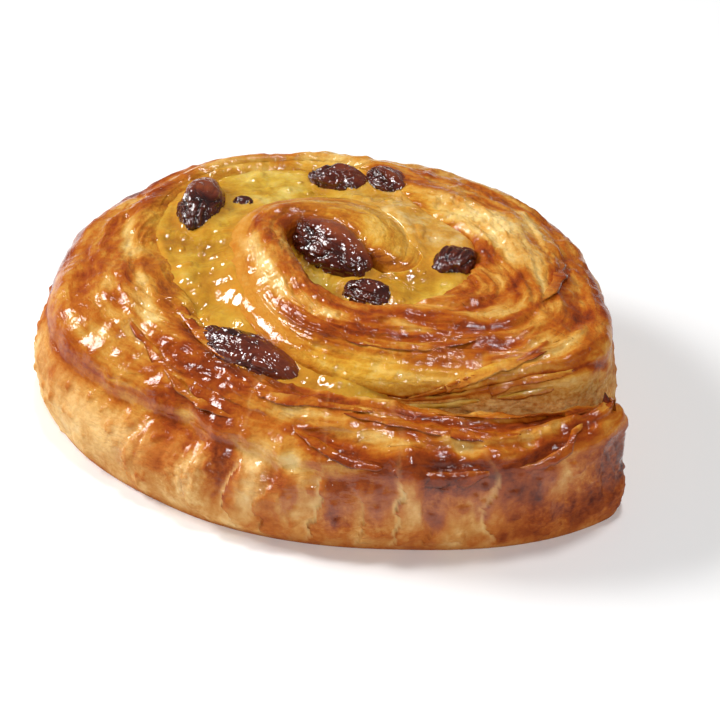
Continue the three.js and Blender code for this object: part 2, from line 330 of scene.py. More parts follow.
# Browned streaks and creases, each with its browning, half width and rise in mm, and the turn and
# zone of the points that it runs through. A negative browning is a pale, floury place.
STREAKS = (
    (-0.3, 1.5, 0.5, ((0.475, 1.28), (0.424, 1.55), (0.395, 1.58), (0.351, 1.59), (0.323, 1.49))),
    (0.18, 1.9, 0, ((0.515, 1.77), (0.469, 1.44), (0.439, 1.28), (0.4, 1.24), (0.371, 1.16))),
    (0.3, 1.5, 0.1, ((0.6, 1.06), (0.515, 1.08), (0.474, 1.1), (0.441, 1.08), (0.4, 1.05),
        (0.385, 0.95))),
    (0.22, 0.9, 0.2, ((0.44, 1.81), (0.418, 1.86))),
    (0.22, 0.8, 0.2, ((0.409, 1.8), (0.396, 1.89))),
    (0.2, 1.4, 0.2, ((0.392, 1.64), (0.375, 1.7), (0.35, 1.78))),
    (0.22, 1.6, 0.3, ((0.364, 1.8), (0.331, 1.72), (0.295, 1.71), (0.255, 1.62))),
    (0.24, 1.3, 0.9, ((0.301, 1.8), (0.267, 1.8), (0.235, 1.82), (0.198, 1.86), (0.17, 1.86))),
    (0.3, 1.5, 0.2, ((0.3, 1.3), (0.27, 1.24), (0.241, 1.33), (0.202, 1.45), (0.176, 1.55),
        (0.15, 1.6))),
    (0.16, 1.2, 0.4, ((0.276, 1.05), (0.262, 1.08), (0.245, 1.1), (0.222, 1.1))),
    (0.16, 1.6, 0.1, ((1.45, 1.02), (1.4, 1.04), (1.34, 1.04), (1.29, 1))),
    (0.16, 0.7, -0.3, ((1.411, 1.1), (1.35, 1.2))),
    (-0.3, 2, 0.4, ((1.413, 1.24), (1.316, 1.42), (1.241, 1.5), (1.192, 1.58), (1.157, 1.62))),
    (0.2, 0.9, -0.3, ((1.488, 1.14), (1.43, 1.5), (1.365, 1.79))),
    (0.22, 1.2, 0.1, ((1.221, 1.72), (1.165, 1.76), (1.12, 1.72))),
    (0.26, 1, 0.2, ((1.112, 1.8), (1.068, 1.7), (1.029, 1.7), (0.988, 1.68), (0.948, 1.58))),
    (0.28, 1.1, 0.3, ((1.2, 1.5), (1.108, 1.51), (1.072, 1.47), (1.035, 1.5), (0.996, 1.5),
        (0.956, 1.37), (0.899, 1.16))),
    (0.22, 1, 0.2, ((1.073, 1.28), (1.046, 1.29), (1.013, 1.36), (0.984, 1.34), (0.95, 1.22))),
    (0.46, 1.3, 0.2, ((0.968, 1.2), (0.978, 1.23))),
    (0.2, 1.6, 0.1, ((0.978, 1.23), (1, 1.3))),
    (0.26, 1.3, 0.2, ((0.88, 1.93), (0.9, 1.86), (0.925, 1.82))),
    (-0.24, 1.3, 0.5, ((0.866, 1.72), (0.895, 1.7), (0.925, 1.69))),
    (-0.22, 3, 0.2, ((0.78, 1.7), (0.827, 1.62), (0.86, 1.55))),
    (0.2, 1.6, 0.2, ((0.716, 1.91), (0.756, 1.84))),
    (0.3, 1.2, 0.2, ((1.99, 1.75), (1.99, 1.3), (1.97, 1.06))),
    (0.3, 0.5, -0.2, ((0.74, 1.04), (0.789, 1.09), (0.853, 1.1), (0.893, 1.08), (0.93, 1.08),
        (0.967, 1.1))),
    (0.42, 1, 0.5, ((0.2, 1.86), (0.156, 1.84), (0.115, 1.76), (0.081, 1.55), (0.051, 1.52),
        (0.022, 1.74), (0.002, 1.8))),
    (0.3, 1, 0.2, ((0.14, 1.5), (0.118, 1.4), (0.099, 1.22), (0.089, 1.06))),
    (0.52, 1.7, 0.8, ((0.175, 1.14), (0.142, 1.09), (0.123, 1.06), (0.097, 1.03), (0.072, 1.01),
        (0.05, 1.03), (0.034, 1.14), (0.022, 1.3))),
    (0.46, 2, -0.3, ((0.104, 0.97), (0.092, 0.9), (0.08, 0.93))),
    (-0.18, 2.6, 0.1, ((0.089, 0.22), (0.078, 0.3), (0.076, 0.5), (0.08, 0.66))),
    (-0.14, 1.8, 0.1, ((0.106, 0.62), (0.099, 0.7))),
    (0.32, 3.6, 0, ((0.06, 0.72), (0.05, 0.45), (0.036, 0.4), (0.02, 0.45), (0.004, 0.55))),
    (0.14, 2.4, 0, ((0.116, 0.22), (0.104, 0.18))),
    (0.22, 2.2, 0.2, ((0.262, 1.02), (0.258, 0.86), (0.255, 0.66))),
    (0.24, 1.6, 0.3, ((0.222, 1), (0.218, 0.8), (0.214, 0.55))),
    (-0.1, 1.5, 0.1, ((0.238, 0.8), (0.235, 0.6), (0.232, 0.4))),
    (0.24, 4, 0, ((0.33, 0.94), (0.4, 0.88), (0.46, 0.84), (0.56, 0.84))),
    # A thin dark crease along the root of the first loose leaf: painted shade where the leaf stands
    # over it.
    (0.4, 0.32, -0.5, ((1.102, 0.95), (1.085, 1.01), (1.069, 1.06), (1.043, 1.15), (1.027, 1.2),
        (1.012, 1.26))),
    (0.4, 0.6, 0.5, ((1.134, 0.97), (1.105, 0.94), (1.082, 0.95), (1.062, 1), (1.035, 1.06),
        (1.007, 1.06), (0.994, 1))),
)
# Blisters, each with its turn, zone, radius and rise, the last two in mm.
BLISTERS = (
    (0.053, 1.2, 1.7, 0.9), (0.037, 1.26, 1.4, 0.6), (0.024, 1.24, 1.5, 0.6),
    (0.085, 1.22, 1.6, 0.5), (0.335, 1.1, 3, 0.5), (0.318, 1.22, 3.2, 0.6), (0.3, 1.14, 2.6, 0.5),
    (0.345, 1.3, 2.4, 0.4), (0.25, 1.04, 2.4, 0.5), (0.2, 1, 2.2, 0.6), (0.21, 1.02, 1.7, 0.5),
    (0.175, 1.02, 1.8, 0.5), (0.37, 1.36, 2, 0.4), (1.17, 1.14, 1.6, 0.5), (1.15, 1.06, 1.3, 0.4),
    (1.12, 1.12, 1.3, 0.3),
)


def on_strip(turn, zone):
    """Points of the plain dough at each turn and zone, in mm."""
    turn = np.asarray(turn, float)
    radius, height, zones = section(turn, LOOSE_TURN)
    at = [[np.interp(z, zones[0], row) for z, row in zip(zone, rows)] for rows in (radius, height)]
    return in_place(turn, *np.array(at))


def between(stops, places):
    """Turns and zones at places along a path, which count its stops from nought."""
    return [np.interp(places, np.arange(len(stops)), stops[:, k]) for k in (0, 1)]


def nearness(points, turn, path, width):
    """1 on a path over the dough, falling to 0 a few widths away."""
    stops = np.array(path, float)
    line = on_strip(*between(stops, np.linspace(0, len(stops) - 1, 14 * len(stops))))
    low, high = line.min(axis=0) - 3 * width, line.max(axis=0) + 3 * width
    close = np.all((points > low) & (points < high), axis=-1)
    close &= (turn > stops[:, 0].min() - 0.12) & (turn < stops[:, 0].max() + 0.12)
    field = np.zeros(turn.shape)
    here = points[close]
    if len(here):
        distance = np.full(len(here), 1e9)
        for spot in line:
            distance = np.minimum(distance, np.linalg.norm(here - spot, axis=-1))
        field[close] = bell(distance, 0, width)
    return field


def crease(value, width):
    """1 where a signed unevenness passes through nought, falling to 0 beside it."""
    return 1 - smooth(np.abs(value), 0, width)


# Torn folds that hang down the wall: where each ends, in mm from the tail, and how proud it stands.
# Round the rest of the wall they are scattered.
FOLDS = (
    (-8, 0.2), (6, 0.2), (13.5, 0.4), (19.5, 0.2), (25.6, 1.2), (33, 0.3),
    (38.4, 1.2), (44.5, 0.3), (50.7, 1.3), (59, 0.4), (64.8, 1.2), (71.5, 0.4),
)
SCATTERED, SCATTER_START, SCATTER_GAPS, SCATTER_DEPTHS = 24, 72, (7, 14), (0.2, 0.6)
SEED = np.random.default_rng(5)
FOLD_EDGES = np.concatenate([
    [edge for edge, _ in FOLDS],
    np.cumsum(SEED.uniform(*SCATTER_GAPS, SCATTERED)) + SCATTER_START,
])
FOLD_DEPTH = np.concatenate([
    [depth for _, depth in FOLDS], SEED.uniform(*SCATTER_DEPTHS, SCATTERED),
])


def torn_folds(s, height, zone):
    """The folds' relief on the wall, how far across its fold each point is, where the folds are
    torn, and the unevenness that stands upright between them."""
    warp = s + 2 * uneven(s / 11, height / 7, seed=21)
    warp += 0.9 * uneven(s / 3.5, height / 2.4, seed=22)
    warp += 0.3 * uneven(s / 1.1, height / 0.8, seed=23)
    k = np.clip(np.searchsorted(FOLD_EDGES, warp) - 1, 0, len(FOLD_EDGES) - 2)
    room = FOLD_EDGES[k + 1] - FOLD_EDGES[k]
    spread = np.clip((warp - FOLD_EDGES[k]) / room, 0, 1)
    proud = FOLD_DEPTH[k] * smooth(uneven(s / 8, height / 9, seed=24), -0.9, 0.1)
    hang = smooth(height, 0.3, 3) * (1 - 0.85 * smooth(zone, 0.8, 1))
    torn = bell(spread * room, 0.3, 0.4) * smooth(proud, 0.45, 1) * hang
    sway = uneven(s / 6, height / 4, seed=25)
    upright = uneven(s / 3.4 + 0.3 * sway, height / 10, seed=26)
    relief = hang * proud * ((1 - spread) ** 1.5 - 0.4)
    relief += (0.28 * upright - 0.22 * crease(upright, 0.45)) * hang
    return relief, spread, torn, upright


def marks(points, turn, on_top):
    """The relief and the browning of the streaks and blisters, and the painted shade of one crease
    under a leaf.
    """
    relief, bake_and_shade = 0, 0
    fray = 1 + 0.35 * lumps(points, 2.2, 37)
    froth = smooth(lumps(points, 1, 38), -0.1, 0.7)
    for brown, width, rise, path in STREAKS:
        field = nearness(points, turn, path, width) ** ((1 / fray) ** 2)
        bake_and_shade = bake_and_shade + brown * field
        relief = relief + 0.6 * rise * field
        if brown < 0:
            relief += 0.35 * field * on_top * froth
    for place_turn, place_zone, size, rise in BLISTERS:
        middle = on_strip([place_turn], [place_zone])[0]
        dome = np.clip(1 - (np.linalg.norm(points - middle, axis=-1) / size) ** 2, 0, 1)
        relief += rise * dome
        bake_and_shade = bake_and_shade - 0.1 * dome
    return relief, bake_and_shade


MIDDLE_BAKE = 0.44  # browning of plain dough, from 0 to 1
DARKEST = 0.36  # how far browning goes on beyond the middle, however many streaks meet
LEAST_GLAZE = 0.08


def dough(name, start, end, steps, counts):
    turn = steps_by_length(start, end, steps)
    radius, height, zone = section(turn, counts)
    t = turn[:, None] + 0 * radius
    plain = in_place(t, radius, height)
    s = np.interp(t, TURNS, OUTER_RUN)
    run = np.interp(t, TURNS, MIDDLE_RUN)
    girth = np.cumsum(np.linalg.norm(np.diff(plain, axis=1), axis=-1), axis=1)
    girth = np.concatenate([0 * t[:, :1], girth], axis=1)
    across = girth - girth[:, counts[0]:counts[0] + 1]
    x, y, z = np.moveaxis(plain, -1, 0)

    # Where each kind of surface lies.
    wander = zone + 0.1 * lumps(plain[..., :2], 7, 18) + 0.05 * lumps(plain, 2, 19)
    on_top = smooth(wander, 0.84, 1.06) * (1 - smooth(zone, 1.97, 2.06))
    loose = 1 - smooth(t, 0.955, 0.985)
    on_wall = (1 - smooth(zone, 0.88, 1.05)) * smooth(height, 0.2, 2)
    wound_wall = on_wall * (1 - loose)
    on_wall = on_wall * loose
    free = np.clip(on_top + on_wall + wound_wall, 0, 1)
    streaked = np.clip(0.25 + bell(t, 1.08, 0.17) + 0.8 * bell(t, 0.9, 0.14)
                       + 0.7 * bell(t, 0.03, 0.14) + 0.35 * bell(t, 0.62, 0.1), 0, 1)
    silky = smooth(t, 1.16, 1.26) * (1 - smooth(zone, 1.12, 1.34))
    silky *= 1 - 0.6 * smooth(t, 1.46, 1.56)
    sheet = np.clip(silky + smooth(t, 1.46, 1.58), 0, 1)
    rugged = 1 - 0.6 * sheet
    streaked *= 1 - 0.9 * sheet

    # Grooves between the layers along the top, and finer crumpling all over it.
    bend = 0.9 * uneven(run / 16, across / 6, seed=11) + 0.3 * uneven(run / 5, across / 2, seed=12)
    layers = uneven(run / 20, across / 2.3 + bend, seed=13)
    layered = smooth(uneven(run / 10, across / 4, seed=14), -0.5, 0.3)
    grooves = crease(layers, 0.35) * layered
    thin = uneven(run / 13 + 3, across / 1.25 + 1.2 * bend, seed=17)
    lines = crease(thin, 0.22) * layered
    folds = uneven(run / 6 + 0.4 * bend, across / 2.6 + 0.7 * bend, seed=15)
    wrinkles = uneven(run / 2.4, across / 1.3, z / 1.3, seed=16)
    relief = on_top * (1 - 0.75 * sheet) * (
        -(0.12 + 0.3 * streaked) * grooves + (0.1 + 0.14 * streaked) * layers
        - (0.05 + 0.22 * streaked) * lines + 0.1 * thin * streaked
        - 0.2 * crease(folds, 0.5) + 0.16 * folds - 0.1 * crease(wrinkles, 0.5)
    )

    # Torn folds down the wall, ribs over its shoulder and level lines between its layers.
    folded, spread, torn, upright = torn_folds(s, height, zone)
    relief += on_wall * folded
    ribs = 0.6 * uneven(s / 4.6, height / 16, seed=27) * (0.4 + 0.6 * smooth(0.36 - t, 0, 0.1))
    relief += bell(zone, 0.98, 0.22) * loose * ribs
    level_lines = uneven(s / 9, height / 0.9, seed=28)
    level_lines = 0.08 * level_lines - 0.08 * crease(level_lines, 0.4)
    relief += on_wall * smooth(t, 0.28, 0.36) * level_lines

    # Syrup that ran down the wall from the rim.
    early = smooth(0.3 - t, 0, 0.06)
    rim = bell(zone, 1, 0.16) * early
    reach = height + 4 * uneven(s / 2.2, 0, seed=45)
    drips = uneven(s / 3 + 0.4 * uneven(s / 5, height / 3, seed=43), height / 12, seed=44)
    drips = smooth(drips, -0.15, 0.35) * smooth(reach, 5, 11) * on_wall
    drips = drips * smooth(0.34 - t, 0, 0.06)
    relief += 0.22 * drips + rim * 0.35 * uneven(s / 3.6, height / 3, seed=47)

    # Lumps, crumpled skin, the open crumb of the cut layers, and blisters.
    lumpy = 0.34 * lumps(plain, 10, 31) + 0.24 * lumps(plain, 4.4, 32)
    relief += free * rugged * (lumpy + 0.09 * lumps(plain, 1.1, 33))
    pits = smooth(lumps(plain, 1.6, 34), 0.45, 0.8)
    worn = smooth(uneven(s / 8, height / 6, seed=35), 0.1, 0.5)
    crumb = wound_wall * smooth(1.16 - t, 0, 0.04)
    crumb = np.clip(crumb + on_wall * (0.4 * bell(t, 0, 0.05) + 0.5 * worn), 0, 1)
    sandy = wound_wall * smooth(1.13 - t, 0, 0.05)
    cells = uneven(s / 1.1, across / 1, seed=36)
    relief += crumb * (0.16 * cells - 0.2 * crease(cells, 0.4)) - 0.36 * on_wall * pits
    marked, bake_and_shade = marks(plain, t, on_top)
    relief += marked

    points = pressed(plain + facing(plain) * relief[..., None])
    points[..., 2] = np.where(zone >= 3, 0, np.maximum(points[..., 2], 0))

    # How strongly each place is baked, from 0 for pale to 1 for dark, with painted shade added
    # in the grooves between the layers, in the wall's pits, under the torn folds and along one
    # leaf's root.
    bake_and_shade = bake_and_shade + MIDDLE_BAKE + 0.15 * uneven(x / 12, y / 12, z / 9, seed=41)
    banded = rough(run / 14, across / 1.8 + bend, 42)
    patchy = uneven(run / 5, across / 2.4 + 0.5 * bend, seed=48)
    bake_and_shade += on_top * rugged * ((0.1 + 0.09 * streaked) * banded + 0.12 * patchy)
    # The grooves and fine lines between the layers are painted darker here: painted shade in them.
    bake_and_shade += on_top * ((0.09 * grooves + 0.13 * lines) * streaked + 0.08 * folds)
    bake_and_shade += on_top * (0.09 * bell(t, 0.42, 0.13) - 0.07 * smooth(0.24 - t, 0, 0.06))
    bake_and_shade += rim * (0.12 + 0.2 * uneven(s / 3.2, height / 2.6, seed=46))
    # Besides the darker tail end, the pits in the wall are painted darker here: painted shade in
    # them.
    bake_and_shade += on_wall * (0.26 * bell(t, 0, 0.055) + 0.08 * bell(t, 0, 0.07) + 0.14 * pits)
    bake_and_shade -= 0.27 * on_wall * bell(t, 0.33, 0.09)
    # Each torn fold is painted darker towards its sunk end, in the shade under the next fold's torn
    # edge, and lighter at its proud edge: painted shade and painted light.
    bake_and_shade += on_wall * (0.18 * upright + 0.14 * (spread - 0.4)) * smooth(0.34 - t, 0, 0.08)
    bake_and_shade += (0.24 * drips - 0.1 * on_wall) * early
    bake_and_shade += 0.12 * on_wall * bell(t, 0.18, 0.055) * smooth(height, 1, 8)
    bake_and_shade += 0.05 * wound_wall - 0.15 * torn - 0.06 * silky - 0.16 * sandy
    bake_and_shade += 0.3 * syrup_ring(points)
    darker = 0.5 + DARKEST * np.tanh((bake_and_shade - 0.5) / 0.4)
    bake_and_shade = np.where(bake_and_shade > 0.5, darker, bake_and_shade)
    near_custard = smooth(zone, 1.55, 1.9) * (1 - smooth(zone, 2.1, 2.4)) * smooth(t, 0.16, 0.24)
    bake_and_shade -= 0.1 * near_custard * smooth(0.8 - t, 0, 0.1)

    # Where custard yellows the dough, and how thickly the glaze lies.
    yolk = near_custard * 0.8 * smooth(0.86 - t, 0, 0.1)
    yolk += bell(t, 1.14, 0.06) * bell(zone, 1.1, 0.16) + 0.7 * smooth(t, 1.45, 1.6) * on_top
    glaze = smooth(wander, 0.84, 1.14)
    glaze += 0.7 * loose * smooth(0.26 - t, 0, 0.06) * smooth(height, 3, 12)
    glaze *= 1 - 0.4 * on_top * smooth(0.22 - t, 0, 0.08)
    glaze = (glaze + 0.8 * drips) * (1 - 0.4 * crumb) * (1 - 0.35 * streaked * on_top)

    return tube_piece(name, points, {
        "strip": np.stack([run, across, z], axis=-1),
        "bake_and_shade": bake_and_shade,
        "yolk": np.clip(yolk, 0, 1),
        "glaze": np.clip(glaze, LEAST_GLAZE, 1),
        "crumb": crumb,
        "torn": torn,
        "silky": silky,
        "top": np.maximum(1 - loose - 0.8 * sandy, smooth(wander, 0.74, 1.1)),
    })


# Loose leaves of the crust. Each has its root along a path of turns and zones, its width and lift
# in mm, the browning of its body and the side of the path that its free edge lies on.
LEAVES = (
    (((1.102, 0.95), (1.069, 1.06), (1.043, 1.15), (1.012, 1.26),
        (0.985, 1.3)), 1.3, 0.5, 0.46, -1),
    (((1.14, 0.96), (1.105, 0.93), (1.082, 0.95), (1.062, 1), (1.035, 1.06),
        (1.01, 1.06)), 1, 0.5, 0.5, -1),
    (((1.112, 0.9), (1.095, 0.87), (1.076, 0.89), (1.06, 0.93)), 1, 0.4, 0.36, -1),
    (((1.052, 0.94), (1.036, 0.98), (1.022, 1)), 0.6, 0.3, 0.46, -1),
    (((0.178, 1.14), (0.16, 1.11), (0.142, 1.06), (0.126, 1.04)), 1.1, 0.3, 0.62, -1),
    (((0.121, 1.03), (0.105, 1), (0.088, 0.98), (0.075, 1)), 1.5, 0.35, 0.66, -1),
    (((0.071, 0.99), (0.055, 1), (0.04, 1.06), (0.026, 1.22)), 1.1, 0.3, 0.6, -1),
    (((0.15, 1.6), (0.11, 1.5), (0.08, 1.35), (0.055, 1.3)), 1.2, 0.4, 0.6, -1),
    (((0.225, 1.42), (0.19, 1.52), (0.155, 1.66), (0.12, 1.72)), 1.2, 0.4, 0.56, -1),
    (((0.09, 1.8), (0.06, 1.7), (0.03, 1.76), (0.012, 1.84)), 1.6, 0.7, 0.58, -1),
    (((0.335, 1.78), (0.3, 1.8), (0.262, 1.82), (0.225, 1.86)), 1.4, 0.5, 0.56, 1),
    (((0.33, 1.3), (0.29, 1.16), (0.25, 1.1), (0.215, 1.1)), 1.2, 0.3, 0.58, -1),
    (((0.985, 1.5), (0.94, 1.34), (0.9, 1.22)), 1.2, 0.4, 0.56, -1),
    (((1.18, 1.4), (1.13, 1.36), (1.08, 1.34), (1.04, 1.4)), 1, 0.3, 0.54, -1),
    (((0.012, 1.3), (0.009, 1.55), (0.01, 1.85)), 1.6, 1.1, 0.8, -1),
)
LEAF_THICKNESS, LEAF_STEP = 0.26, 0.3  # mm
# Round a leaf's section: how far out from its root each point lies, and on which face.
LEAF_REACH = (-0.4, 0.3, 0.7, 1, 0.7, 0.3, -0.4)
LEAF_FACE = (1, 1, 1, 0, -1, -1, -1)


def leaf(path, width, lift, brown, side, seed):
    """Rings of points round one leaf, with how it is baked."""
    stops = np.array(path, float)
    last = len(stops) - 1
    rough_line = on_strip(*between(stops, np.linspace(0, last, 40)))
    length = np.linalg.norm(np.diff(rough_line, axis=0), axis=-1).sum()
    share = np.linspace(0, 1, max(16, int(length / LEAF_STEP)))
    turn, zone = between(stops, share * last)
    root = on_strip(turn, zone)
    across = on_strip(turn, zone + 0.02) - root
    onward = np.gradient(root, axis=0)
    normal = np.cross(onward, across)
    outwards = (root - (*AXIS, 15))[:, :1]
    normal *= np.sign(normal[:, 2:] + 0.2 * outwards * normal[:, :1])
    normal /= np.linalg.norm(normal, axis=-1, keepdims=True)
    reach = np.cross(normal, onward)
    reach *= side * np.sign(np.sum(reach * across, axis=-1, keepdims=True))
    reach /= np.linalg.norm(reach, axis=-1, keepdims=True)

    run = share * length
    ragged = 1 + 0.35 * uneven(run / 2.6, seed, seed=91) + 0.16 * uneven(run / 0.8, seed, seed=92)
    spread = (np.sin(math.pi * share) ** 0.45 * ragged)[:, None, None]
    out = np.array(LEAF_REACH)[None, :, None]
    face = np.array(LEAF_FACE)[None, :, None]
    rise = lift * np.clip(out, 0, 1) ** 0.8 * spread - 0.25 * (1 - spread)
    rise = rise + 0.5 * LEAF_THICKNESS * face * (1.2 - out)
    points = root[:, None] + reach[:, None] * width * out * spread + normal[:, None] * rise
    bake_and_shade = brown + 0.1 * uneven(run / 2.5, seed, seed=93)[:, None] + 0.1 * out[..., 0]
    return points, bake_and_shade


def leaves():
    """All the loose leaves as one mesh."""
    places, faces, bakes = [], [], []
    count = 0
    for seed, entry in enumerate(LEAVES):
        points, bake_and_shade = leaf(*entry, seed)
        faces += ring_faces(*points.shape[:2], first=count)
        count += bake_and_shade.size
        places.append(points.reshape(-1, 3))
        bakes.append(bake_and_shade.reshape(-1))
    points, bake_and_shade = np.concatenate(places), np.concatenate(bakes)
    none = 0 * bake_and_shade
    return finished_piece(closed_mesh("crust_leaves", points, faces), {
        "strip": points,
        "bake_and_shade": bake_and_shade,
        "yolk": smooth(0.45 - bake_and_shade, 0, 0.1),
        "glaze": none + 0.9,
        "top": none + 1,
        **dict.fromkeys(("crumb", "torn", "silky"), none),
    })


def srgb(red, green, blue):
    """A colour by its usual 0 to 255 values."""
    def linear(value):
        v = value / 255
        return v / 12.92 if v <= 0.04045 else ((v + 0.055) / 1.055) ** 2.4
    return (linear(red), linear(green), linear(blue), 1)


class Finish:
    """A material and the short calls that its nodes are made with."""

    def __init__(self, name):
        self.material = bpy.data.materials.new(name)
        self.material.use_nodes = True
        self.tree = self.material.node_tree
        self.shader = self.tree.nodes["Principled BSDF"]

    def node(self, kind, inputs=None, **settings):
        node = self.tree.nodes.new(kind)
        for key, value in settings.items():
            setattr(node, key, value)
        for key, value in (inputs or {}).items():
            self.feed(node.inputs[key], value)
        return node

    def feed(self, socket, value):
        if isinstance(value, bpy.types.NodeSocket):
            self.tree.links.new(value, socket)
        else:
            socket.default_value = value

    def measure(self, name, vector=False):
        node = self.node("ShaderNodeAttribute", attribute_name=name)
        return node.outputs["Vector" if vector else "Fac"]

    def maths(self, operation, a, b=0, clamp=False):
        node = self.node("ShaderNodeMath", {0: a, 1: b}, operation=operation, use_clamp=clamp)
        return node.outputs[0]

    def add(self, *values):
        total = values[0]
        for value in values[1:]:
            total = self.maths("ADD", total, value)
        return total

    def times(self, a, b):
        return self.maths("MULTIPLY", a, b)

    def around_half(self, value, size):
        """A noise's swing about its middle, at that size."""
        return self.times(self.less(value, 0.5), size)

    def less(self, a, b, clamp=False):
        return self.maths("SUBTRACT", a, b, clamp)

    def vectors(self, operation, *vectors):
        node = self.node("ShaderNodeVectorMath", dict(enumerate(vectors)), operation=operation)
        return node.outputs[0]

    def stretch(self, vector, scale):
        return self.vectors("MULTIPLY", vector, scale)

    def noise(self, vector, scale, detail, roughness):
        inputs = {"Vector": vector, "Scale": scale, "Detail": detail, "Roughness": roughness}
        return self.node("ShaderNodeTexNoise", inputs).outputs["Fac"]

    def ramp(self, value, stops):
        node = self.node("ShaderNodeValToRGB", {"Fac": value})
        elements = node.color_ramp.elements
        while len(elements) < len(stops):
            elements.new(0.5)
        for element, (position, colour) in zip(elements, stops):
            element.position = position
            element.color = srgb(*colour)
        return node.outputs["Color"]

    def mix(self, share, a, b):
        node = self.node("ShaderNodeMix", data_type="RGBA")
        for socket, value in zip((node.inputs[0], node.inputs[6], node.inputs[7]), (share, a, b)):
            self.feed(socket, value)
        return node.outputs[2]

    def bump(self, height, distance, strength=1, normal=None):
        inputs = {"Height": height, "Distance": distance, "Strength": strength}
        if normal is not None:
            inputs["Normal"] = normal
        return self.node("ShaderNodeBump", inputs).outputs["Normal"]

    def set(self, **values):
        for key, value in values.items():
            self.feed(self.shader.inputs[key.replace("_", " ")], value)


# The crust's colours by how strongly it is baked, with painted shade added to that, each as red,
# green and blue up to 255: glazed on the top, dry on the wall, and where custard has soaked in.
BAKED_COLOURS = (
    (0, (240, 208, 138)), (0.2, (226, 180, 100)), (0.38, (204, 139, 52)), (0.54, (180, 96, 20)),
    (0.7, (152, 63, 10)), (0.88, (104, 36, 8)), (1, (64, 21, 8)),
)
WALL_COLOURS = (
    (0, (246, 218, 166)), (0.2, (230, 184, 118)), (0.38, (206, 144, 76)), (0.54, (188, 108, 46)),
    (0.7, (158, 76, 32)), (0.88, (112, 46, 22)), (1, (66, 26, 17)),
)
YOLK_COLOURS = (
    (0.1, (240, 210, 120)), (0.4, (218, 166, 50)), (0.6, (188, 120, 26)), (0.85, (120, 60, 14)),
)


def crust_finish():
    f = Finish("baked_crust")
    place = f.node("ShaderNodeTexCoord").outputs["Object"]
    strip = f.measure("strip", vector=True)
    bake_and_shade, yolk, glaze, crumb, torn, silky, top = (
        f.measure(key) for key in ("bake_and_shade", "yolk", "glaze", "crumb", "torn", "silky", "top")
    )

    drift = f.node("ShaderNodeTexNoise", {"Vector": place, "Scale": 280, "Detail": 2})
    wound = f.vectors("MULTIPLY_ADD", drift.outputs["Color"], (3, 3, 3), strip)
    grain = f.noise(f.stretch(wound, (0.14, 0.75, 0.3)), 1, 3, 0.55)
    hanging = f.noise(f.stretch(wound, (0.45, 0.14, 0.14)), 1, 3, 0.55)
    streaks = f.add(f.times(grain, top), f.times(hanging, f.less(1, top)))
    clouds = f.noise(place, 150, 3, 0.5)
    blotches = f.noise(place, 480, 3, 0.6)
    freckles = f.noise(place, 1300, 3, 0.6)
    drawn = f.times(f.around_half(streaks, 0.5), f.less(1, f.times(silky, 0.6)))
    level = f.add(bake_and_shade, drawn, f.around_half(clouds, 0.26), f.around_half(blotches, 0.3))
    level = f.add(level, f.around_half(freckles, 0.2))
    level = f.add(level, f.times(f.around_half(freckles, 0.5), crumb))
    colour = f.mix(top, f.ramp(level, WALL_COLOURS), f.ramp(level, BAKED_COLOURS))
    colour = f.mix(f.times(yolk, 0.75), colour, f.ramp(level, YOLK_COLOURS))
    colour = f.mix(f.times(silky, 0.45), colour, srgb(212, 138, 38))
    colour = f.mix(f.times(torn, 0.75), colour, srgb(232, 190, 124))

    fine = f.noise(f.stretch(wound, (0.3, 1, 0.8)), 1, 3, 0.55)
    skin = f.bump(freckles, 0.00025, 0.8, f.bump(fine, 0.0005, 0.6, f.bump(blotches, 0.0005, 0.5)))
    ripples = f.add(f.noise(place, 300, 2, 0.5), f.times(fine, 0.35))
    lively = f.less(0.65, f.times(silky, 0.4))
    film = f.bump(ripples, 0.0006, lively, f.bump(freckles, 0.00012, lively))
    f.set(
        Base_Color=colour,
        Roughness=0.7,
        Specular_IOR_Level=0.03,
        Subsurface_Weight=0.1,
        Subsurface_Radius=(1, 0.45, 0.15),
        Subsurface_Scale=0.0012,
        Normal=skin,
        Coat_Weight=glaze,
        Coat_Roughness=0.04,
        Coat_IOR=1.5,
        Coat_Normal=film,
    )
    return f.material


LOOSE_STEPS, WOUND_STEPS, SEAM_OVERLAP = 760, 470, 0.02

crust = crust_finish()
for name, start, end, steps, counts in (
    ("dough_loose_turn", 0, 1 + SEAM_OVERLAP, LOOSE_STEPS, LOOSE_TURN),
    ("dough_wound_turn", 1, STRIP_TURNS, WOUND_STEPS, WOUND_TURN),
):
    piece = dough(name, start, end, steps, counts)
    piece.data.materials.append(crust)
    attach(piece, "root")
    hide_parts("dough_strip")
flakes = leaves()
flakes.data.materials.append(crust)
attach(flakes, "root")

# ------------------------------------------------------------------------------ the custard
# Vanilla custard, spread on the dough before it was wound up, so it stands in the channel from the
# base to the top. Baking sets it with a blistered skin, and it creeps up what it touches.

FILLING_TURNS = (0.09, 1.6)
FILLING_STEPS = (584, 275)  # before the break in the custard beside the tongue, and after it
FILLING_TOP, FILLING_SIDE = 84, 5
POCKET = (0.012, 0.015)  # turns from the tongue to the break, and across it
CUSTARD_DEPTH = (2, 1.8, 3, 1.2, 0.8, 0.6, 1.2, 1.2, 1.6, 3, 4.4, 4.2, 4, 4)
CUSTARD_CLIMB = 0.5
LEAST_RADIUS = 0.4
# How far the custard runs on inside the dough outside it, more so in its outer part; and inside
# the next turn's foot, and over its shoulder where it hugs it, at that depth below the skin; mm.
UNDER_LIP, FURTHER_UNDER_LIP = 0.7, 1.4
UNDER_FOOT, ONTO_SHOULDER, SHOULDER_SINK = 0.9, 2.3, 0.35
# Where syrup lies smooth over the custard's climb up the second turn, as turns and radii, and how
# steeply it falls towards -x and -y.
SYRUP_POOL = (
    (0.24, 21), (0.255, 20.5), (0.28, 20.2), (0.307, 20.6), (0.334, 21.4), (0.355, 21.9),
)
POOL_FALL = (0.656, 0.458)
POOL_SPAN = 25  # rings that its height is evened out over


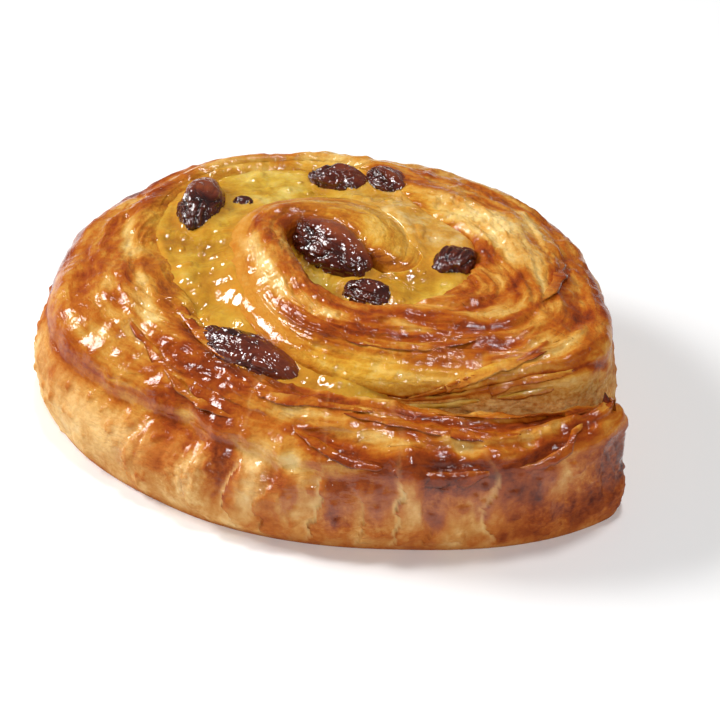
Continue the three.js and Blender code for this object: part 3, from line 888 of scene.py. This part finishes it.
def over_raisins(points, top_share):
    """Lets a top surface dip under the raisins that lie in it, and creep up round them."""
    rise = np.zeros(points.shape[:-1])
    for entry in RAISINS.values():
        middle, axes, size = raisin_frame(entry)
        local = (points - middle) @ axes.T
        level = np.clip(1 - (local[..., 2] / size[2]) ** 2, 0.05, 1)
        flat = np.hypot(local[..., 0] / size[0], local[..., 1] / size[1]) / np.sqrt(level)
        near = np.abs(local[..., 2]) < size[2]
        depth = (1 - smooth(flat, 0.86, 0.99)) * near
        floor = size[2] * np.sqrt(np.clip(1 - flat**2 * level, 0, 1)) + local[..., 2] + GAP
        rise -= depth * np.maximum(floor, 0)
        rise += 0.55 * np.exp(-np.clip(flat - 1, 0, None) * size[1] / 0.8) * (flat >= 1) * near
    lifted = points.copy()
    lifted[..., 2] += rise * top_share
    return lifted


def syrup_pool(points, turn, radius):
    """How much of each point lies in the pool, and the height of the pool there."""
    inwards = slice(FILLING_SIDE + FILLING_TOP - 1, FILLING_SIDE, -1)
    middle = np.interp(turn, *np.transpose(SYRUP_POOL))
    height = [np.interp(r, ring_r[inwards], ring_z[inwards])
              for r, ring_r, ring_z in zip(middle, radius, points[..., 2])]
    padded = np.pad(height, POOL_SPAN // 2, mode="edge")
    height = np.convolve(padded, np.full(POOL_SPAN, 1 / POOL_SPAN), mode="valid")[:, None]
    plan = points[..., :2]
    off = radius - middle[:, None]
    away = (plan - AXIS) / np.linalg.norm(plan - AXIS, axis=-1, keepdims=True)
    fall = off * (away @ POOL_FALL)
    share = bell(turn[:, None], 0.297, 0.06) * bell(off, 0, 1.9)
    return share, height + fall + 0.05 * lumps(plan, 1.6, 55)


def custard():
    start, end = FILLING_TURNS
    tongue = STRIP_TURNS - 1 + POCKET[0]
    turn = np.concatenate([
        steps_by_length(start, tongue, FILLING_STEPS[0]),
        steps_by_length(tongue + POCKET[1], end, FILLING_STEPS[1]),
    ])
    t = turn[:, None]
    strip, nxt = strip_at(t), strip_at(t + 1)
    beyond = t + 1 > STRIP_TURNS + POCKET[1]

    # Where it lies outside, carries a skin, hugs the next turn's shoulder, is sunk or is lumpy.
    outer_part = 1 - smooth(t, 0.72, 0.86)
    inner_part = 1 - outer_part
    skin = smooth(t, 0.6, 0.76) * (1 - smooth(t, 0.87, 0.93))
    hug = np.clip(bell(t, 0.36, 0.13) + skin, 0, 1)
    sunken = bell(t, 0.6, 0.1)
    lumpy = bell(t, 0.31, 0.12)

    outside = strip["inner"] + UNDER_LIP + FURTHER_UNDER_LIP * outer_part * smooth(t, 0.12, 0.2)
    inside = np.where(beyond, LEAST_RADIUS, nxt["outer"] - UNDER_FOOT - ONTO_SHOULDER * hug)
    width = outside - inside
    level = strip["crest"] - along(CUSTARD_DEPTH, t) - 3 * (1 - smooth(t, start, start + 0.05))
    climb = np.where(beyond, 0, CUSTARD_CLIMB * (nxt["rim"] - strip["crest"]))
    bulge = np.minimum(0.6, 0.1 * width)
    share = np.linspace(0, 1, FILLING_TOP)[None]
    side = np.linspace(0, 1, FILLING_SIDE + 1)[None]
    top_z = level + climb * share + 4 * bulge * share * (1 - share)
    radius = np.concatenate([
        outside + 0 * side[:, 1:], outside - width * share, inside + 0 * side[:, 1:],
    ], axis=1)
    height = np.concatenate([
        top_z[:, :1] * side[:, :-1], top_z, top_z[:, -1:] * side[:, -2::-1],
    ], axis=1)
    is_top = np.zeros(radius.shape)
    is_top[:, FILLING_SIDE:FILLING_SIDE + FILLING_TOP] = 1
    points = in_place(t, radius, height)
    plan = points[..., :2]

    # It creeps up the dough on both sides, and meets the shoulder that it hugs.
    to_inside, to_outside = radius - inside, outside - radius
    edge_gap = np.minimum(to_inside, to_outside)
    lean, bend = along(RIM_LEAN, t + 1), along(SHOULDER_RADIUS, t + 1)
    onto = np.clip(nxt["outer"] - lean - inside, 0, bend)
    rounded = np.sqrt(np.clip(bend**2 - (bend - onto) ** 2, 0, None))
    shoulder = nxt["rim"] - bend + rounded - SHOULDER_SINK
    ramp = (shoulder - level - climb) * bell(to_inside, 0, 3.4 + 1.6 * outer_part)
    relief = 1.5 * (1 - hug) * (1 - 0.8 * sunken) * np.exp(-to_inside / 2) * ~beyond
    relief += 1.3 * outer_part * (1 - 0.9 * sunken) * np.exp(-to_outside / 3)
    relief *= np.minimum(1, width / 4)
    relief += hug * ramp + 0.6 * skin - 0.7 * inner_part * (1 - skin) - 0.9 * sunken
    relief -= (0.5 + 1.1 * inner_part) * np.exp(-to_outside / 0.6)

    # Waves, lumps and bubbles in the skin, away from its edges.
    waves, bubbles = lumps(plan, 5.5, 51), lumps(plan, 1.7, 53)
    blistered = (0.4 + 0.3 * lumpy) * waves
    blistered += (0.26 + 0.3 * lumpy) * lumps(plan, 2.6, 52)
    blistered += 0.07 * lumpy * lumps(plan, 1.2, 54)
    blistered += 0.3 * smooth(bubbles, 0.5, 0.85) - 0.16 * smooth(-bubbles, 0.55, 0.9)
    relief += smooth(edge_gap, 0.6, 2.2) * blistered
    points[..., 2] += relief * is_top

    pool, pool_z = syrup_pool(points, turn, radius)
    pool *= is_top
    points[..., 2] += pool * (pool_z - points[..., 2])
    amber = np.exp(-edge_gap / (1.4 + 1.6 * hug)) * (0.9 + 0.6 * bubbles)
    amber += 0.7 * syrup_ring(points) + pool
    points = over_raisins(points, is_top)
    points[..., 2] = np.maximum(points[..., 2], 0)
    return tube_piece("custard_filling", points, {
        "waves": waves,
        "amber": np.clip(amber, 0, 1),
        "skinned": np.clip(skin * (0.8 + 0.4 * waves), 0, 1),
    })


def custard_finish():
    f = Finish("baked_custard")
    place = f.node("ShaderNodeTexCoord").outputs["Object"]
    cloud = f.noise(place, 210, 5, 0.62)
    level = f.add(cloud, f.times(f.measure("waves"), 0.16))
    colour = f.ramp(level, (
        (0.25, (146, 92, 10)), (0.44, (184, 134, 28)), (0.6, (206, 165, 54)),
        (0.8, (226, 200, 108)),
    ))
    colour = f.mix(f.times(f.measure("amber"), 0.85), colour, srgb(212, 142, 38))
    skin = f.ramp(f.noise(place, 330, 4, 0.6), (
        (0.3, (196, 124, 36)), (0.5, (218, 160, 66)), (0.66, (236, 204, 136)),
    ))
    colour = f.mix(f.measure("skinned"), colour, skin)
    blisters = f.bump(f.noise(place, 700, 3, 0.5), 0.0005, 0.6)
    lively = f.less(0.8, f.times(f.measure("amber"), 0.6))
    f.set(
        Base_Color=colour,
        Roughness=0.6,
        Specular_IOR_Level=0.03,
        Subsurface_Weight=0.3,
        Subsurface_Radius=(1, 0.6, 0.15),
        Subsurface_Scale=0.0025,
        Normal=blisters,
        Coat_Weight=1,
        Coat_Roughness=0.04,
        Coat_IOR=1.65,
        Coat_Normal=f.bump(f.noise(place, 400, 3, 0.5), 0.0008, lively),
    )
    return f.material


filling = custard()
filling.data.materials.append(custard_finish())
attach(filling, "root")
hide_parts("custard")

# ------------------------------------------------------------------------------ the raisins
# Big dark raisins, soaked until they swell and pressed into the custard. Their skin lies in soft
# folds with sharp furrows between them, and the syrup pools there and glitters.

RAISIN_FOLD = 0.07
RAISIN_FINENESS = 6
SWELL = 0.45  # mm all round
# How smooth the taut side of a raisin is, and which way that side faces along its own axes.
SMOOTH_SIDE = {
    "raisin_left": (0.8, (0.85, 0, 0.5)),
    "raisin_middle": (0.9, (0, 0.8, 0.6)),
    "raisin_front": (0.5, (0.8, 0.2, 0.3)),
    "raisin_rear": (0.4, (0.6, 0.5, 0.4)),
    "raisin_rear_right": (0.6, (0.2, 0.6, 0.6)),
}


def raisin(name, entry):
    middle, axes, size = raisin_frame(entry)
    middle, size = middle + (0, 0, 0.5 * SWELL), size + SWELL
    seed = entry[3]
    bm = bmesh.new()
    bmesh.ops.create_icosphere(bm, subdivisions=RAISIN_FINENESS, radius=1)
    mesh = bpy.data.meshes.new(name + "_soaked")
    bm.to_mesh(mesh)
    bm.free()
    p = np.array([vertex.co for vertex in mesh.vertices], float)
    around = np.arctan2(p[:, 2], p[:, 1])
    girth = np.hypot(p[:, 1], p[:, 2])
    folds = np.sin(3 * around + 1.7 * seed) + 0.6 * np.sin(5 * around + 2.6 * p[:, 0] + seed)
    swell = 1 + RAISIN_FOLD * girth * folds - 0.12 * p[:, 0] ** 2 * girth
    local = np.stack([p[:, 0], p[:, 1] * swell, p[:, 2] * swell], axis=-1) * size
    out = p / size
    out /= np.linalg.norm(out, axis=-1, keepdims=True)

    lx, ly, lz = local.T
    twist = 0.7 * uneven(lx / 4, ly / 3, lz / 3, seed=60 + seed)
    broad = uneven(lx / 6, ly / 2 + twist, lz / 2 + twist, seed=70 + seed)
    narrow = uneven(lx / 1.8, ly / 0.7 + twist, lz / 0.7, seed=80 + seed)
    fine = uneven(lx / 0.7, ly / 0.4, lz / 0.4, seed=90 + seed)
    furrow = 0.8 * crease(broad, 0.25) + 0.45 * crease(narrow, 0.4)
    smoothness, way = SMOOTH_SIDE.get(name, (0, (0, 0, 1)))
    taut = smoothness * smooth(p @ way, 0.15, 0.6)
    supple = 1 - 0.9 * taut
    depth = min(0.5, 0.15 * size[2])
    folded = 0.6 * depth * broad + 0.3 * depth * narrow - depth * furrow
    local += out * (supple * (folded + 0.05 * fine))[:, None]

    points = middle + local @ axes
    mesh.vertices.foreach_set("co", (points * MM).reshape(-1))
    mesh.update()
    return finished_piece(mesh, {"furrow": furrow * (1 - taut), "taut": taut})


def raisin_finish():
    f = Finish("raisin_skin")
    place = f.node("ShaderNodeTexCoord").outputs["Object"]
    furrow, taut = f.measure("furrow"), f.measure("taut")
    cloud = f.noise(place, 300, 4, 0.6)
    level = f.add(f.times(cloud, 0.8), f.times(taut, 0.45))
    # The furrows are painted darker: painted shade in them.
    level = f.less(level, f.times(furrow, 0.22), clamp=True)
    colour = f.ramp(level, (
        (0.1, (34, 9, 6)), (0.38, (78, 26, 15)), (0.62, (112, 46, 24)), (0.9, (146, 72, 34)),
    ))
    wrinkle = f.bump(f.noise(place, 1100, 3, 0.6), 0.00025, 0.5)
    f.set(
        Base_Color=colour,
        Roughness=0.6,
        Specular_IOR_Level=0.03,
        Subsurface_Weight=0.15,
        Subsurface_Radius=(1, 0.25, 0.1),
        Subsurface_Scale=0.001,
        Normal=wrinkle,
        Coat_Weight=1,
        Coat_Roughness=0.035,
        Coat_IOR=1.65,
        Coat_Normal=f.bump(f.noise(place, 900, 2, 0.5), 0.0004, 0.7),
    )
    return f.material


raisin_skin = raisin_finish()
for name, entry in RAISINS.items():
    piece = raisin(name, entry)
    piece.data.materials.append(raisin_skin)
    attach(piece, "root")
    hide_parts(name)

# ------------------------------------------------------------------------------ table and light
# A plain white table top under big soft lights, and a long lens that looks down on the pastry.

FLOOR_SIZE = 3


def floor():
    bm = bmesh.new()
    bmesh.ops.create_grid(bm, x_segments=1, y_segments=1, size=FLOOR_SIZE / 2)
    mesh = bpy.data.meshes.new("table_top")
    bm.to_mesh(mesh)
    bm.free()
    f = Finish("white_table")
    f.set(Base_Color=(0.96, 0.96, 0.96, 1), Roughness=0.6)
    mesh.materials.append(f.material)
    return in_scene("table_top", mesh)


def area_light(name, place, size, power):
    light = bpy.data.lights.new(name, "AREA")
    light.shape = "RECTANGLE"
    light.size, light.size_y = size
    light.energy = power
    lamp = in_scene(name, light)
    lamp.location = place
    x, y, z = np.subtract(LAMP_AIM, place)
    lamp.rotation_euler = (math.atan2(math.hypot(x, y), -z), 0, math.atan2(y, x) - math.pi / 2)


floor()
LAMP_AIM = (0, 0, 0.015)
area_light("window", (-0.62, 0.22, 0.47), (0.26, 0.3), 5.6)
area_light("front_fill", (0.1, -0.8, 0.8), (0.16, 0.16), 4.6)
area_light("overhead", (0.1, 0.1, 1), (0.16, 0.16), 3.4)

world = bpy.data.worlds.new("studio")
world.use_nodes = True
sky = world.node_tree.nodes["Background"].inputs
sky["Color"].default_value = (1, 1, 1, 1)
sky["Strength"].default_value = 0.15
bpy.context.scene.world = world
bpy.context.scene.view_settings.view_transform = "Standard"

CAMERA_TARGET = (0.0071, -0.0055, 0.01)
CAMERA_DISTANCE = 0.323
CAMERA_ELEVATION = math.radians(36)
FOCAL_LENGTH, SENSOR_WIDTH = 100, 36  # mm

lens = bpy.data.cameras.new("camera")
lens.lens = FOCAL_LENGTH
lens.sensor_width = SENSOR_WIDTH
camera = in_scene("camera", lens)
camera.location = np.add(CAMERA_TARGET, (
    0, -CAMERA_DISTANCE * math.cos(CAMERA_ELEVATION), CAMERA_DISTANCE * math.sin(CAMERA_ELEVATION),
))
camera.rotation_euler = (math.pi / 2 - CAMERA_ELEVATION, 0, 0)
bpy.context.scene.camera = camera
